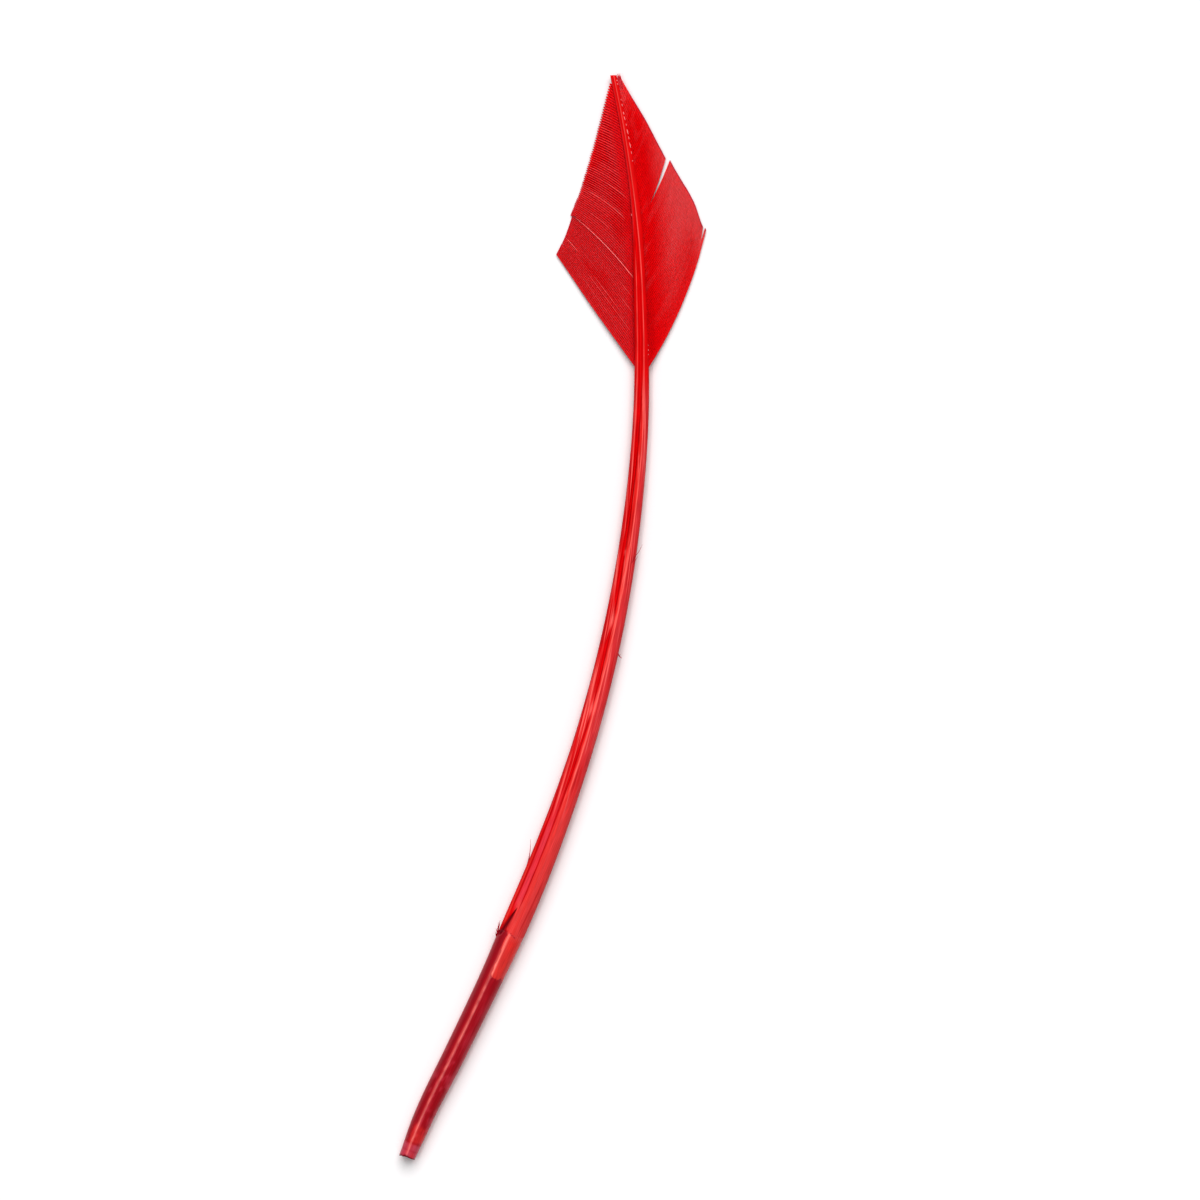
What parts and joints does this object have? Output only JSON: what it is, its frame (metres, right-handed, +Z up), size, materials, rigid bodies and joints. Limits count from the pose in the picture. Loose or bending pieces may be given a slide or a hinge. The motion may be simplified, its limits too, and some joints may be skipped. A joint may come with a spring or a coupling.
{
  "type": "turkey wing feather",
  "caption": "Dyed turkey wing feather with a bare bowed quill and a short arrow-shaped head, lying with its grooved side up.",
  "frame": {"origin": "middle of the feather's box, on the surface that it lies on", "axes": "+Y from the quill's cut end to the tip, +Z up from the surface through the grooved side, +X to the right seen from above"},
  "size_m": [0.0384, 0.2978, 0.0063],
  "materials": {
    "feather": "dyed keratin, satin on the quill and silky on the vanes"
  },
  "bodies": {
    "root": {"feather": "feather"}
  },
  "joints": []
}
